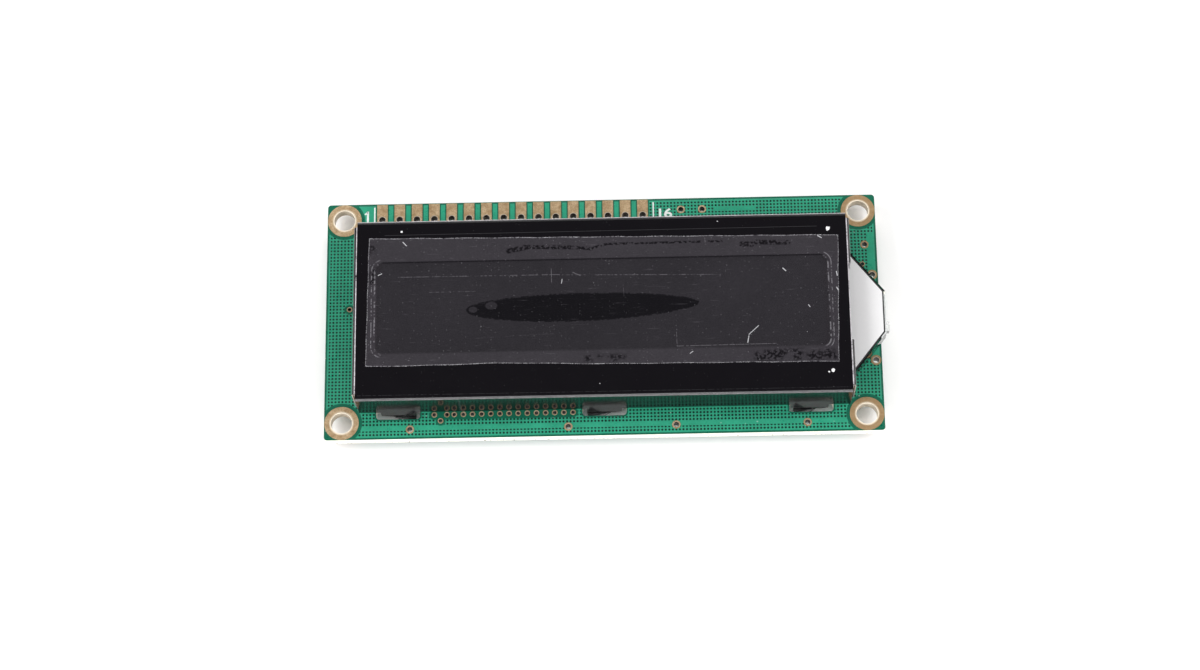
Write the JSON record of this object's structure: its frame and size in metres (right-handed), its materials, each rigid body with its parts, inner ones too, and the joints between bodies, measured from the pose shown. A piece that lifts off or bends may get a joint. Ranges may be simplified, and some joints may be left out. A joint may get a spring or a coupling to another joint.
{
  "type": "character lcd module",
  "caption": "Bare character display module: green circuit board with a row of pin holes, black folded bezel over a dark glass cell, and an edge-lit backlight whose tail sticks out at one end.",
  "frame": {"origin": "centre of the four mounting holes, on the front face of the circuit board", "axes": "+X along the board, towards the backlight's tail; +Y towards the row of pin holes; +Z out of the display, towards the viewer"},
  "size_m": [0.081, 0.036, 0.0095],
  "materials": {
    "board_green": "glass-fibre board under glossy green solder mask",
    "gold_plate": "copper with a dull gold flash",
    "tin_plate": "tinned copper, bright",
    "black_paint": "steel sheet with smooth black paint, bare at the cut edges",
    "clear_film": "clear peel-off film, scratched and dusty",
    "dark_polarizer": "dark polarizing film",
    "cell_glass": "clear float glass",
    "seal_epoxy": "cured seal line",
    "crystal_layer": "liquid crystal between the plates",
    "plug_resin": "cured amber resin",
    "zebra_rubber": "silicone strip with fine dark stripes",
    "white_sheet": "white optical sheet",
    "clear_acrylic": "clear moulded acrylic",
    "black_tape": "black adhesive tape",
    "white_foil": "white reflecting foil",
    "lamp_body": "white lamp housing with pale yellow gel",
    "solder": "solder, bright",
    "black_resin": "black epoxy resin",
    "resistor_body": "black glaze on ceramic",
    "capacitor_body": "tan ceramic"
  },
  "bodies": {
    "root": {"circuit_board": "board_green", "mounting_rings": "gold_plate", "pin_pads": "gold_plate", "via_rings": "gold_plate", "backlight_pads": "gold_plate", "bezel": "black_paint", "protective_film": "clear_film", "front_polarizer": "dark_polarizer", "front_glass": "cell_glass", "cell_seal": "seal_epoxy", "liquid_crystal": "crystal_layer", "fill_plug": "plug_resin", "rear_glass": "cell_glass", "rear_polarizer": "dark_polarizer", "zebra_strip_front": "zebra_rubber", "zebra_strip_rear": "zebra_rubber", "diffuser": "white_sheet", "light_guide": "clear_acrylic", "reflector": "white_sheet", "tail_tape": "black_tape", "tail_foil": "white_foil", "lamp": "lamp_body", "lamp_pins": "tin_plate", "lamp_solder": "solder", "controller_drop": "black_resin", "driver_drop": "black_resin", "chip_resistors": "resistor_body", "chip_capacitors": "capacitor_body", "chip_ends": "solder"}
  },
  "joints": []
}
